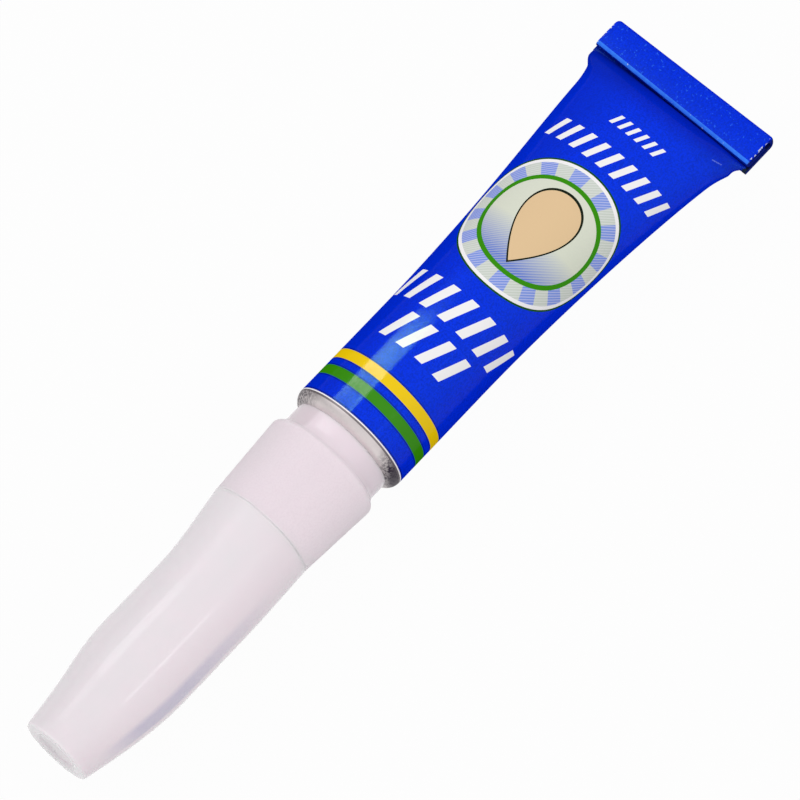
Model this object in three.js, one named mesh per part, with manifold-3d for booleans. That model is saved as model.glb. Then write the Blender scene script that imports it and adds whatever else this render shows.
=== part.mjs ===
// A small collapsible tube of glue: an enamelled aluminium tube with a folded end, a screw-on nozzle
// with a long spout, and a push-on cap over the spout. Millimetres, +Z up.
// The tube lies along X with its cap towards -X. Every x below is measured from the edge of the
// enamel at the tube's shoulder, and the whole assembly is centred on X and Y at the end.
import * as THREE from 'three';
import { mergeVertices } from 'three/addons/utils/BufferGeometryUtils.js';
import Module from 'manifold-3d';

const wasm = await Module();
wasm.setup();

// Tube
const TUBE_DIAMETER = 13.5;
const WALL = 0.18;
const ROUND_LENGTH = 12;        // stretch behind the shoulder that is still round
const BELLY_LENGTH = 32;        // stretch that flattens slowly
const BELLY_END_HEIGHT = 4.08;  // half-height of the wall's middle where the belly ends
const CLOSING_LENGTH = 4.75;    // stretch that rounds over and closes onto the fold
const CLOSING_CARRY = 3.4;      // how far the belly's slope carries on into the closing stretch
const CLOSING_EASE = 0.3;       // how long the closing wall runs level where it meets the fold
const PRESSED_LENGTH = 0.45;    // stretch before the fold where the two walls are pressed together

// Shoulder and neck
const SHOULDER_RADIUS = 1.3;
const SHOULDER_SLOPE = THREE.MathUtils.degToRad(20);
const NECK_DIAMETER = 7;
const NECK_LENGTH = 7;
const NECK_WALL = 0.8;
const MEMBRANE = 0.5;
const PIERCED_HOLE = 3;

// Folded end: the flattened tube is turned over twice, so three layers lie on each other
const FOLD_HEIGHT = 3.75;
const FOLD_LAYER_GAP = 0.1;
const FOLD_TUCK = 0.6;          // how far the tucked-in edge stops short of the outer bend
const FOLD_ROOT = 0.35;         // how far the flat strip reaches into the closing walls
const FOLD_OFFSET = 0.6;        // from the tube's axis to the middle of the fold, towards -Y
const FOLD_LEAN_POWER = 8;      // how late along the tube it leans over to the fold's middle

// Filling
const GLUE_FRONT = 0.4;         // behind the enamel edge
const GLUE_LENGTH = 40.5;
const SEAL_LENGTH = 0.8;

// Nozzle: its grip and collar follow the tube's outside
const COLLAR_SETBACK = 0.95;    // how far the collar lies inside the tube's outside
const COLLAR_LENGTH = 2.25;
const GRIP_LENGTH = 9.55;
const GRIP_SETBACK = 0.15;      // how far the back of the grip lies inside the tube's outside
const GRIP_TAPER = 0.625;       // radius lost towards the front of the grip
const GRIP_EDGE = 0.5;
const PLUG_LENGTH = 4;
const PLUG_CHAMFER = 0.4;
const SPOUT_BASE_DIAMETER = 6.4;
const SPOUT_TIP_DIAMETER = 3;
const SPOUT_LENGTH = 23;
const BORE_DIAMETER = 1.5;
const SPIKE_REACH = 1.6;        // how far the piercing spike stands inside the membrane
const SPIKE_LAND = 0.2;         // flat left round the bore at the tip of the spike

// Cap: its rim follows the front of the grip, and its barrel stands a little to one side
const CAP_STEP = 0.075;         // how far the rim stands outside the front of the grip
const CAP_RIM_EDGE = 0.15;
const CAP_RIM_WALL = 1.05;      // wall between the rim and the socket for the plug
const CAP_FLARE = 0.425;        // radius lost from the rim to the barrel
const CAP_FLARE_LENGTH = 7.4;
const CAP_OFFSET = 0.7;         // from the middle of the rim to the middle of the barrel, towards -Y
const CAP_TAPER = 1.75;         // radius lost along the cone
const CAP_CONE_LENGTH = 10.3;
const CAP_END_EDGE = 0.6;
const CAP_WALL = 0.7;           // wall of the barrel at its thinnest
const CAP_TIP = 3.1;            // from the end of the cavity to the end face
const RECESS_DIAMETER = 5;
const RECESS_DEPTH = 0.9;
const PIN_LENGTH = 3;

// Fits
const CLEARANCE = 0.3;          // between pieces that fit in or over each other
const SEAM = 0.1;               // between the cap's rim and the grip

// Facets
const SIDES = 64;
const ARC_STEPS = 3;
const BELLY_STEPS = 9;
const CLOSING_STEPS = 8;

const tubeRadius = TUBE_DIAMETER / 2;
const neckRadius = NECK_DIAMETER / 2;
const middleRadius = tubeRadius - WALL / 2;
const middleGirth = 2 * Math.PI * middleRadius;
const collarRadius = tubeRadius - COLLAR_SETBACK;
const gripBackRadius = tubeRadius - GRIP_SETBACK;
const gripFrontRadius = gripBackRadius - GRIP_TAPER;
const capRimRadius = gripFrontRadius + CAP_STEP;
const capBarrelRadius = capRimRadius - CAP_FLARE;
const capEndRadius = capBarrelRadius - CAP_TAPER;
const mouthRadius = capRimRadius - CAP_RIM_WALL;
const plugRadius = mouthRadius - CLEARANCE;
const spoutBoreRadius = BORE_DIAMETER / 2;

const ENAMEL = { color: 0x0a2ccf, roughness: 0.3, metalness: 0.2 };
const FROSTED = { color: 0xe6dfe2, roughness: 0.6, metalness: 0 };
const MILKY = { color: 0xe9e6ea, roughness: 0.15, metalness: 0 };
const LATEX = { color: 0xcfc6a8, roughness: 0.8, metalness: 0 };
const CLEAR_GLUE = { color: 0xf1f3f2, roughness: 0.05, metalness: 0 };

// A solid of revolution about X from an outline of (radius, x) points.
function revolve(outline) {
  const geometry = new THREE.LatheGeometry(outline, SIDES, Math.PI / SIDES, 2 * Math.PI);
  return geometry.rotateZ(-Math.PI / 2);
}

// A closed skin over a row of elliptical rings, each with its x, half-width and half-height.
function skin(rings) {
  const positions = [];
  const triangles = [];
  for (const ring of rings) {
    for (let side = 0; side < SIDES; side += 1) {
      const angle = (2 * Math.PI * (side + 0.5)) / SIDES;
      positions.push(ring.x, ring.halfWidth * Math.cos(angle), ring.halfHeight * Math.sin(angle));
    }
  }
  const frontCentre = rings.length * SIDES;
  const backCentre = frontCentre + 1;
  positions.push(rings[0].x, 0, 0, rings.at(-1).x, 0, 0);
  const lastRing = (rings.length - 1) * SIDES;
  for (let side = 0; side < SIDES; side += 1) {
    const next = (side + 1) % SIDES;
    for (let base = 0; base < lastRing; base += SIDES) {
      const ahead = base + SIDES;
      triangles.push(base + side, base + next, ahead + next);
      triangles.push(base + side, ahead + next, ahead + side);
    }
    triangles.push(frontCentre, next, side);
    triangles.push(backCentre, lastRing + side, lastRing + next);
  }
  const geometry = new THREE.BufferGeometry();
  geometry.setAttribute('position', new THREE.Float32BufferAttribute(positions, 3));
  geometry.setIndex(triangles);
  return geometry;
}

function toSolid(geometry) {
  const bare = geometry.clone();
  bare.deleteAttribute('normal');
  bare.deleteAttribute('uv');
  const merged = mergeVertices(bare);
  const vertProperties = new Float32Array(merged.attributes.position.array);
  const triVerts = new Uint32Array(merged.index.array);
  return new wasm.Manifold(new wasm.Mesh({ numProp: 3, vertProperties, triVerts }));
}

function toGeometry(solid) {
  const mesh = solid.getMesh();
  const geometry = new THREE.BufferGeometry();
  geometry.setAttribute('position', new THREE.BufferAttribute(mesh.vertProperties, 3));
  geometry.setIndex(new THREE.BufferAttribute(mesh.triVerts, 1));
  return geometry;
}

// Ramanujan's girth of an ellipse.
function girth(halfWidth, halfHeight) {
  const sum = halfWidth + halfHeight;
  const root = Math.sqrt((3 * halfWidth + halfHeight) * (halfWidth + 3 * halfHeight));
  return Math.PI * (3 * sum - root);
}

// The tube's metal doesn't stretch, so a flattened section widens until its girth is kept.
function widthThatKeepsGirth(halfHeight) {
  let low = halfHeight;
  let high = middleGirth / 4;
  for (let step = 0; step < 40; step += 1) {
    const middle = (low + high) / 2;
    if (girth(middle, halfHeight) < middleGirth) low = middle;
    else high = middle;
  }
  return high;
}

// Middle of the wall from the end of the round stretch to the fold, seen from the side.
function flatteningRings() {
  const bellyEnd = ROUND_LENGTH + BELLY_LENGTH;
  const bellySlope = (2 * (BELLY_END_HEIGHT - middleRadius)) / BELLY_LENGTH;
  const foldRoot = bellyEnd + CLOSING_LENGTH;
  const belly = new THREE.QuadraticBezierCurve(
    new THREE.Vector2(ROUND_LENGTH, middleRadius),
    new THREE.Vector2(ROUND_LENGTH + BELLY_LENGTH / 2, middleRadius),
    new THREE.Vector2(bellyEnd, BELLY_END_HEIGHT),
  );
  const closing = new THREE.CubicBezierCurve(
    new THREE.Vector2(bellyEnd, BELLY_END_HEIGHT),
    new THREE.Vector2(bellyEnd + CLOSING_CARRY, BELLY_END_HEIGHT + bellySlope * CLOSING_CARRY),
    new THREE.Vector2(foldRoot - CLOSING_EASE, WALL / 2),
    new THREE.Vector2(foldRoot, WALL / 2),
  );
  const side = [...belly.getPoints(BELLY_STEPS), ...closing.getPoints(CLOSING_STEPS).slice(1)];
  return side.map(({ x, y }) => ({ x, halfWidth: widthThatKeepsGirth(y), halfHeight: y }));
}

function grow(rings, amount) {
  return rings.map(({ x, halfWidth, halfHeight }) => (
    { x, halfWidth: halfWidth + amount, halfHeight: halfHeight + amount }
  ));
}

function roundRings(outline) {
  return outline.map(({ x, y }) => ({ x, halfWidth: y, halfHeight: y }));
}

// The ring that a skin over the given rings has at x.
function ringAt(rings, x) {
  const ahead = rings.findIndex((ring) => ring.x > x);
  const before = rings[ahead - 1];
  const after = rings[ahead];
  const share = (x - before.x) / (after.x - before.x);
  const halfWidth = THREE.MathUtils.lerp(before.halfWidth, after.halfWidth, share);
  const halfHeight = THREE.MathUtils.lerp(before.halfHeight, after.halfHeight, share);
  return { x, halfWidth, halfHeight };
}

// The stretch of a row of rings between two places along it.
function stretch(rings, from, to) {
  const inner = rings.filter(({ x }) => x > from && x < to);
  return [ringAt(rings, from), ...inner, ringAt(rings, to)];
}

const flattening = flatteningRings();
const foldRoot = flattening.at(-1).x;
const hollowEnd = foldRoot - PRESSED_LENGTH;

// Leans the flattened end over to the middle of the fold, which was pressed a little off the axis.
function leanToFold(solid) {
  return solid.warp((point) => {
    const share = THREE.MathUtils.clamp((point[0] - ROUND_LENGTH) / (foldRoot - ROUND_LENGTH), 0, 1);
    point[1] -= FOLD_OFFSET * share ** FOLD_LEAN_POWER;
  });
}

// Where the conical shoulder lies at a given radius, and where the neck starts and ends on it.
const shoulderTurn = Math.PI - SHOULDER_SLOPE;
const shoulderEdge = new THREE.Vector2(
  SHOULDER_RADIUS * Math.cos(shoulderTurn),
  tubeRadius - SHOULDER_RADIUS + SHOULDER_RADIUS * Math.sin(shoulderTurn),
);
function shoulderAt(radius) {
  return shoulderEdge.x - (shoulderEdge.y - radius) * Math.tan(SHOULDER_SLOPE);
}
const neckRoot = shoulderAt(neckRadius);
const neckEnd = neckRoot - NECK_LENGTH;

// Places of the nozzle and the cap along the tube
const seatGap = CLEARANCE / Math.cos(SHOULDER_SLOPE);
const gripBack = shoulderAt(collarRadius) - seatGap - COLLAR_LENGTH;
const gripFront = gripBack - GRIP_LENGTH;
const plugEnd = gripFront - PLUG_LENGTH;
const spoutEnd = plugEnd - SPOUT_LENGTH;
const capRim = gripFront - SEAM;
const cavityEnd = spoutEnd - CLEARANCE;
const capEnd = cavityEnd - CAP_TIP;
const coneStart = capEnd + CAP_CONE_LENGTH;

// The flattened strip, turned over towards +Z and its edge tucked in under the top layer.
const strip = 2 * WALL;
const layerPitch = strip + FOLD_LAYER_GAP;
const foldFront = foldRoot + FOLD_LAYER_GAP;
const foldEnd = foldFront + FOLD_HEIGHT;

function foldedEnd() {
  const outerBend = foldEnd - layerPitch - strip / 2;
  const frontBend = foldFront + layerPitch / 2 + strip / 2;
  const tuckedEdge = outerBend - FOLD_TUCK;
  const up = Math.PI / 2;
  const outline = new THREE.Shape();
  outline.moveTo(foldRoot - FOLD_ROOT, -strip / 2);
  outline.lineTo(outerBend, -strip / 2);
  outline.absarc(outerBend, layerPitch, layerPitch + strip / 2, -up, up, false);
  outline.lineTo(frontBend, 2 * layerPitch + strip / 2);
  outline.absarc(frontBend, 1.5 * layerPitch, (layerPitch + strip) / 2, up, 3 * up, false);
  outline.lineTo(tuckedEdge, layerPitch - strip / 2);
  outline.lineTo(tuckedEdge, layerPitch + strip / 2);
  outline.lineTo(frontBend, layerPitch + strip / 2);
  outline.absarc(frontBend, 1.5 * layerPitch, (layerPitch - strip) / 2, 3 * up, up, true);
  outline.lineTo(outerBend, 2 * layerPitch - strip / 2);
  outline.absarc(outerBend, layerPitch, layerPitch - strip / 2, up, -up, true);
  outline.lineTo(foldRoot - FOLD_ROOT, strip / 2);
  const width = middleGirth / 2 + WALL;
  const band = new THREE.ExtrudeGeometry(outline, { depth: width, bevelEnabled: false, curveSegments: 10 });
  return band.rotateX(Math.PI / 2).translate(0, width / 2, 0);
}

function tubeBody() {
  const profile = new THREE.Path();
  profile.moveTo(neckEnd, neckRadius);
  profile.lineTo(neckRoot, neckRadius);
  profile.lineTo(shoulderEdge.x, shoulderEdge.y);
  profile.absarc(0, tubeRadius - SHOULDER_RADIUS, SHOULDER_RADIUS, shoulderTurn, Math.PI / 2, true);
  const outside = [...roundRings(profile.getPoints(ARC_STEPS)), ...grow(flattening, WALL / 2)];

  const boreRadius = neckRadius - NECK_WALL;
  const innerRadius = tubeRadius - WALL;
  const boreRoot = -(innerRadius - boreRadius) * Math.tan(SHOULDER_SLOPE);
  const bore = [
    new THREE.Vector2(neckEnd - CLEARANCE, PIERCED_HOLE / 2),
    new THREE.Vector2(neckEnd + MEMBRANE, PIERCED_HOLE / 2),
    new THREE.Vector2(neckEnd + MEMBRANE, boreRadius),
    new THREE.Vector2(boreRoot, boreRadius),
    new THREE.Vector2(0, innerRadius),
  ];
  const hollowWall = stretch(flattening, ROUND_LENGTH, hollowEnd);
  const inside = [...roundRings(bore), ...grow(hollowWall, -WALL / 2)];

  const walls = toSolid(skin(outside)).subtract(toSolid(skin(inside)));
  return toGeometry(leanToFold(walls.add(toSolid(foldedEnd()))));
}

// A filling that lies a clearance inside the tube's wall between two places along it.
function filling(from, to) {
  const front = { x: 0, halfWidth: middleRadius, halfHeight: middleRadius };
  const rings = grow(stretch([front, ...flattening], from, to), -WALL / 2 - CLEARANCE);
  return toGeometry(leanToFold(toSolid(skin(rings))));
}

function glueFill() {
  return filling(GLUE_FRONT, GLUE_FRONT + GLUE_LENGTH);
}

// The band of sealing latex that the fold squeezes, where the two walls meet.
function endSeal() {
  return filling(hollowEnd - SEAL_LENGTH, hollowEnd);
}

function nozzle() {
  const socketRadius = neckRadius + CLEARANCE;
  const socketFloor = neckEnd - CLEARANCE;
  const spikeRadius = PIERCED_HOLE / 2 - CLEARANCE;
  const spikeTip = neckEnd + MEMBRANE + SPIKE_REACH;
  const outline = new THREE.Path();
  outline.moveTo(socketRadius, socketFloor);
  outline.lineTo(socketRadius, shoulderAt(socketRadius) - seatGap);
  outline.lineTo(collarRadius, shoulderAt(collarRadius) - seatGap);
  outline.lineTo(collarRadius, gripBack);
  outline.absarc(gripBackRadius - GRIP_EDGE, gripBack - GRIP_EDGE, GRIP_EDGE, Math.PI / 2, 0, true);
  outline.lineTo(gripFrontRadius, gripFront);
  outline.lineTo(plugRadius, gripFront);
  outline.lineTo(plugRadius, plugEnd + PLUG_CHAMFER);
  outline.lineTo(plugRadius - PLUG_CHAMFER, plugEnd);
  outline.lineTo(SPOUT_BASE_DIAMETER / 2, plugEnd);
  outline.lineTo(SPOUT_TIP_DIAMETER / 2, spoutEnd);
  outline.lineTo(spoutBoreRadius, spoutEnd);
  outline.lineTo(spoutBoreRadius, spikeTip);
  outline.lineTo(spoutBoreRadius + SPIKE_LAND, spikeTip);
  outline.lineTo(spikeRadius, neckEnd + MEMBRANE);
  outline.lineTo(spikeRadius, socketFloor);
  outline.closePath();
  return revolve(outline.getPoints(ARC_STEPS).reverse());
}

// The cap's outside, whose flare leans from the middle of the rim to the middle of the barrel.
function capOutside() {
  const recessRadius = RECESS_DIAMETER / 2;
  const edgeRadius = capEndRadius - CAP_END_EDGE;
  const outline = new THREE.Path();
  outline.moveTo(0, capEnd + RECESS_DEPTH);
  outline.lineTo(recessRadius, capEnd + RECESS_DEPTH);
  outline.lineTo(recessRadius, capEnd);
  outline.absarc(edgeRadius, capEnd + CAP_END_EDGE, CAP_END_EDGE, -Math.PI / 2, 0, false);
  outline.lineTo(capBarrelRadius, coneStart);
  outline.lineTo(capBarrelRadius, capRim - CAP_FLARE_LENGTH);
  outline.lineTo(capRimRadius, capRim - CAP_RIM_EDGE);
  outline.lineTo(capRimRadius - CAP_RIM_EDGE, capRim);
  outline.lineTo(0, capRim);
  return toSolid(revolve(outline.getPoints(ARC_STEPS))).warp((point) => {
    const share = Math.min((capRim - point[0]) / CAP_FLARE_LENGTH, 1);
    point[1] -= CAP_OFFSET * share;
  });
}

// The cap's hollow, in line with the spout, with the socket for the plug and round the pin that fills the bore.
function capHollow() {
  const pinRadius = spoutBoreRadius - CLEARANCE;
  const hollowRadius = capBarrelRadius - CAP_OFFSET - CAP_WALL;
  const hollowEndRadius = hollowRadius - (CAP_TAPER * (CAP_CONE_LENGTH - CAP_TIP)) / CAP_CONE_LENGTH;
  const outline = new THREE.Path();
  outline.moveTo(0, cavityEnd + PIN_LENGTH);
  outline.lineTo(pinRadius, cavityEnd + PIN_LENGTH);
  outline.lineTo(pinRadius, cavityEnd);
  outline.lineTo(hollowEndRadius, cavityEnd);
  outline.lineTo(hollowRadius, coneStart);
  outline.lineTo(hollowRadius, plugEnd - CLEARANCE);
  outline.lineTo(mouthRadius, plugEnd - CLEARANCE);
  outline.lineTo(mouthRadius, capRim + SEAM);
  outline.lineTo(0, capRim + SEAM);
  return toSolid(revolve(outline.getPoints(ARC_STEPS)));
}

function cap() {
  return toGeometry(capOutside().subtract(capHollow()));
}

function piece(name, geometry, look) {
  const mesh = new THREE.Mesh(geometry, new THREE.MeshStandardMaterial(look));
  mesh.name = name;
  return mesh;
}

const glueTube = new THREE.Group();
glueTube.add(piece('tube_body', tubeBody(), ENAMEL));
glueTube.add(piece('end_seal', endSeal(), LATEX));
glueTube.add(piece('glue_fill', glueFill(), CLEAR_GLUE));
glueTube.add(piece('nozzle', nozzle(), FROSTED));
glueTube.add(piece('cap', cap(), MILKY));
// The tube rests on the lowest facet of its round stretch.
const restHeight = tubeRadius * Math.cos(Math.PI / SIDES);
glueTube.position.set(-(foldEnd + capEnd) / 2, FOLD_OFFSET, restHeight);

export default glueTube;
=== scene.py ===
# %% [markdown]
# A small tube of glue
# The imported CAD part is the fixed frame: its pieces keep their places, and this lesson dresses them.
# The tube, the nozzle and the cap are modelled again as smooth skins that stand for the faceted solids.
# The glue and its seal lie hidden inside the tube, so they stay as they are and only get a material.

# %% Load the CAD frame
import math

import bpy
import numpy as np
from mathutils import Matrix, Vector


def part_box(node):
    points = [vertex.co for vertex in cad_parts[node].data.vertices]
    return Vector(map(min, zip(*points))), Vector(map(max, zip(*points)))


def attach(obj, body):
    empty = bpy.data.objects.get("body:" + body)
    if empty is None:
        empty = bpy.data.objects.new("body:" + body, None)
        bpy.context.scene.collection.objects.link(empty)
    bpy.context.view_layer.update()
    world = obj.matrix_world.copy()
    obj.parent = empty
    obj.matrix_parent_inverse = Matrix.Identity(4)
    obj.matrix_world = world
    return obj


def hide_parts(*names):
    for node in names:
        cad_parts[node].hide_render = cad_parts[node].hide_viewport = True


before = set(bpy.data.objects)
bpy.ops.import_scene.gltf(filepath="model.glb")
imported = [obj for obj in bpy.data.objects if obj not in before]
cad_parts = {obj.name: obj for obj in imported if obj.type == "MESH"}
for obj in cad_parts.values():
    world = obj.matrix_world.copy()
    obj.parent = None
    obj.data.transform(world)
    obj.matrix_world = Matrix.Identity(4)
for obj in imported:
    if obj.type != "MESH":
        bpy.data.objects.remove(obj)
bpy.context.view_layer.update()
MM = 0.001
print("CAD nodes:", sorted(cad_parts))

# %% [markdown]
# Where things are
# The tube lies along X with its cap towards -X, and the front of its folded end faces +Z.
# Places come from the boxes of the CAD pieces. Lengths along the tube are measured from the edge of the
# enamel at the shoulder, because that edge is easy to find on the real tube and in a photograph.

# %% Places along the tube
tube_low, tube_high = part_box("tube_body")
nozzle_low, nozzle_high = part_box("nozzle")
cap_low, cap_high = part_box("cap")
AXIS_HEIGHT = (tube_low.z + tube_high.z) / 2
AXIS_SIDE = (nozzle_low.y + nozzle_high.y) / 2
TUBE_RADIUS = AXIS_HEIGHT - tube_low.z
ENAMEL_LENGTH = 52.6 * MM
ENAMEL_EDGE = tube_high.x - ENAMEL_LENGTH
print(f"axis {AXIS_HEIGHT / MM:.2f} mm above the table, enamel from x = {ENAMEL_EDGE / MM:.2f} mm")

# %% [markdown]
# Camera
# The photograph was taken from above the cap's end with a long lens, so the tube hardly tapers in it.
# A track-to target would work too. Azimuth, elevation and roll about an aim point are easier to read and
# to change, so the camera is placed by those.

# %% Camera
AIM = Vector((1.72 * MM, AXIS_SIDE - 1.12 * MM, AXIS_HEIGHT))
CAMERA_DISTANCE = 501.3 * MM
CAMERA_AZIMUTH = math.radians(-43.03)
CAMERA_ELEVATION = math.radians(67.26)
CAMERA_ROLL = math.radians(-5.55)
SENSOR_WIDTH = 36
FOCAL_LENGTH = 224.67


def direction(azimuth, elevation):
    level = math.cos(elevation)
    return Vector((math.sin(azimuth) * level, -math.cos(azimuth) * level, math.sin(elevation)))


bpy.ops.object.camera_add()
camera = bpy.context.object
camera.name = "photo_camera"
towards_camera = direction(CAMERA_AZIMUTH, CAMERA_ELEVATION)
camera.location = AIM + CAMERA_DISTANCE * towards_camera
looking = towards_camera.to_track_quat("Z", "Y").to_matrix() @ Matrix.Rotation(CAMERA_ROLL, 3, "Z")
camera.rotation_euler = looking.to_euler()
camera.data.sensor_width = SENSOR_WIDTH
camera.data.lens = FOCAL_LENGTH
bpy.context.scene.camera = camera
print("camera at", [round(c, 3) for c in camera.location])

# %% [markdown]
# Drawing a ring out into a skin
# The tube, the nozzle and the cap are turned or drawn shapes, and each is one ring of points that is
# extruded along the axis and resized at every step. Spinning an outline would do for the round pieces,
# but not for the tube, which goes from round to flat, so one way serves all three. An outline lists only
# its corners, each with the length over which it is rounded off. A corner may also step to one side,
# which moves the middle of its ring off the axis.

# %% Outline helpers
CORNER_STEPS = 6


def bezier(points, share):
    while len(points) > 1:
        points = [a.lerp(b, share) for a, b in zip(points, points[1:])]
    return points[0]


def ring(x, radius, side=0.0):
    return (x, radius, radius, side)


def rounded(outline):
    """Rings along an outline of (x, radius, rounding) corners, some with a step to the side as well."""
    corners = [Vector((x, radius, *(side or [0.0]))) for x, radius, _, *side in outline]
    shares = [step / CORNER_STEPS for step in range(CORNER_STEPS + 1)]
    rings = [ring(*corners[0])]
    for index in range(1, len(outline) - 1):
        corner = corners[index]
        reach = outline[index][2]
        start = corner + (corners[index - 1] - corner).normalized() * reach
        end = corner + (corners[index + 1] - corner).normalized() * reach
        rings += [ring(*bezier([start, corner, end], share)) for share in shares]
    return rings + [ring(*corners[-1])]


# %% Ring helpers
RING_POINTS = 128


def first_ring(name, station):
    x, radius, _, side = station
    bpy.ops.object.select_all(action="DESELECT")
    bpy.ops.mesh.primitive_circle_add(
        vertices=RING_POINTS,
        radius=radius,
        location=(x, AXIS_SIDE + side, AXIS_HEIGHT),
        rotation=(0, math.pi / 2, 0),
    )
    piece = bpy.context.object
    piece.name = name
    bpy.ops.object.transform_apply(location=True, rotation=True, scale=True)
    return piece


def draw_out(name, stations):
    """A skin through (x, half width, half height, side) rings, open at both ends and in edit mode."""
    piece = first_ring(name, stations[0])
    bpy.ops.object.mode_set(mode="EDIT")
    bpy.ops.mesh.select_all(action="SELECT")
    for before, after in zip(stations, stations[1:]):
        step = (after[0] - before[0], after[3] - before[3], 0)
        bpy.ops.mesh.extrude_region_move(TRANSFORM_OT_translate={"value": step})
        growth = (1, after[1] / before[1], after[2] / before[2])
        centre = (after[0], AXIS_SIDE + after[3], AXIS_HEIGHT)
        bpy.ops.transform.resize(value=growth, center_override=centre)
    return piece


# %% Closing, smoothing and measuring a skin
SMOOTH_ANGLE = math.radians(30)


def select_open_rings():
    bpy.ops.mesh.select_all(action="DESELECT")
    bpy.ops.mesh.select_mode(type="EDGE")
    bpy.ops.mesh.select_non_manifold()


def face_outwards():
    bpy.ops.mesh.select_all(action="SELECT")
    bpy.ops.mesh.normals_make_consistent(inside=False)
    bpy.ops.object.mode_set(mode="OBJECT")


def close_ends():
    """Fills both open rings of the skin that is being edited."""
    select_open_rings()
    bpy.ops.mesh.edge_face_add()
    face_outwards()


def close_bore():
    """Joins both open rings of the skin that is being edited, so that a bore runs through it."""
    select_open_rings()
    bpy.ops.mesh.bridge_edge_loops()
    face_outwards()


def smooth(piece):
    bpy.ops.object.select_all(action="DESELECT")
    piece.select_set(True)
    bpy.context.view_layer.objects.active = piece
    bpy.ops.object.shade_smooth_by_angle(angle=SMOOTH_ANGLE)


def measure(piece):
    size = [round(side / MM, 2) for side in piece.dimensions]
    print(f"{piece.name}: {size} mm, {len(piece.data.polygons)} faces")


# %% [markdown]
# The tube's wall
# The tube is drawn from one slug of aluminium, so shoulder and wall are one skin. It is round at the
# shoulder and pressed flat at the other end. The metal bends but doesn't stretch, so every section keeps
# its girth: as it loses height it gains width. The height follows two Bezier curves, one for the slow
# belly and one for the stretch that rounds over to the fold, and the width is found from the girth. The
# fold was pressed a little off the axis, so the last sections lean over to its middle. Just before it they
# bulge the other way, where the metal gave way beside the press.

# %% Girth of the flattened tube
WALL = 0.18 * MM
HAIR = 0.01 * MM
HALVINGS = 40
middle_radius = TUBE_RADIUS - WALL / 2
middle_girth = 2 * math.pi * middle_radius


def ellipse_girth(half_width, half_height):
    both = half_width + half_height
    root = math.sqrt((3 * half_width + half_height) * (half_width + 3 * half_height))
    return math.pi * (3 * both - root)


def width_that_keeps_girth(half_height):
    """Half the width of a section of some height, found by halving the range that it lies in."""
    low = half_height
    high = middle_girth / 4 - HAIR
    for _ in range(HALVINGS):
        middle = (low + high) / 2
        if ellipse_girth(middle, half_height) < middle_girth:
            low = middle
        else:
            high = middle
    return high


# %% How far the wall leans
ROUND_LENGTH = 12 * MM
BELLY_LENGTH = 32 * MM
CLOSING_LENGTH = 4.75 * MM
FOLD_OFFSET = 0.6 * MM
FOLD_LEAN_POWER = 8
BULGE = 0.34 * MM
BULGE_PLACE = 47.5 * MM
BULGE_REACH = 1 * MM


def lean_at(x):
    share = max((x - ROUND_LENGTH) / (BELLY_LENGTH + CLOSING_LENGTH), 0)
    bulging = max(1 - ((x - BULGE_PLACE) / BULGE_REACH) ** 2, 0) ** 2
    return BULGE * bulging - FOLD_OFFSET * share**FOLD_LEAN_POWER


# %% Heights of the wall
BELLY_END_HEIGHT = 4.08 * MM
CLOSING_CARRY = 4 * MM
CLOSING_EASE = 0.3 * MM
BELLY_STEPS = 30
CLOSING_STEPS = 32


def flattening_rings():
    """Rings from the round stretch to the root of the fold."""
    belly_end = ROUND_LENGTH + BELLY_LENGTH
    fold_root = belly_end + CLOSING_LENGTH
    slope = 2 * (BELLY_END_HEIGHT - middle_radius) / BELLY_LENGTH
    belly = [
        Vector((ROUND_LENGTH, middle_radius)),
        Vector((ROUND_LENGTH + BELLY_LENGTH / 2, middle_radius)),
        Vector((belly_end, BELLY_END_HEIGHT)),
    ]
    closing = [
        Vector((belly_end, BELLY_END_HEIGHT)),
        Vector((belly_end + CLOSING_CARRY, BELLY_END_HEIGHT + slope * CLOSING_CARRY)),
        Vector((fold_root - CLOSING_EASE, WALL / 2)),
        Vector((fold_root, WALL / 2)),
    ]
    side = [bezier(belly, step / BELLY_STEPS) for step in range(BELLY_STEPS)]
    side += [bezier(closing, step / CLOSING_STEPS) for step in range(CLOSING_STEPS + 1)]
    outside = WALL / 2
    return [
        (ENAMEL_EDGE + x, width_that_keeps_girth(y) + outside, y + outside, lean_at(x))
        for x, y in side
    ]


# %% Draw the tube's wall
SHOULDER_SLOPE = math.radians(20)
SHOULDER_LENGTH = 0.99 * MM
NECK_RADIUS = 3.5 * MM
NECK_LENGTH = 7 * MM
NECK_ROUNDING = 0.3 * MM
LAND = 0.1 * MM
ROUND_STEPS = 6

shoulder_x = ENAMEL_EDGE - SHOULDER_LENGTH
neck_root = shoulder_x - (TUBE_RADIUS - NECK_RADIUS) * math.tan(SHOULDER_SLOPE)
shoulder = [
    (neck_root - NECK_LENGTH, NECK_RADIUS, 0),
    (neck_root, NECK_RADIUS, NECK_ROUNDING),
    (shoulder_x, TUBE_RADIUS, SHOULDER_LENGTH),
    (ENAMEL_EDGE + LAND, TUBE_RADIUS, 0),
]
round_places = [ROUND_LENGTH * step / ROUND_STEPS for step in range(1, ROUND_STEPS)]
round_rings = [ring(ENAMEL_EDGE + place, TUBE_RADIUS) for place in round_places]
tube_rings = rounded(shoulder) + round_rings + flattening_rings()
tube = draw_out("tube_skin", tube_rings)
close_ends()
measure(tube)

# %% [markdown]
# Where the print lies
# The print was rolled onto the flat wall before the tube was folded, so it follows the metal and not the
# space round it. A UV map keeps that: across is the way round the girth from the fold's front, and along
# is the way from the enamel edge, both in millimetres. Unwrapping along a seam would do it too, but this
# way the map has real lengths.

# %% Way round the wall
ARC_SAMPLES = 48
ring_table = np.array(tube_rings)


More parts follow.
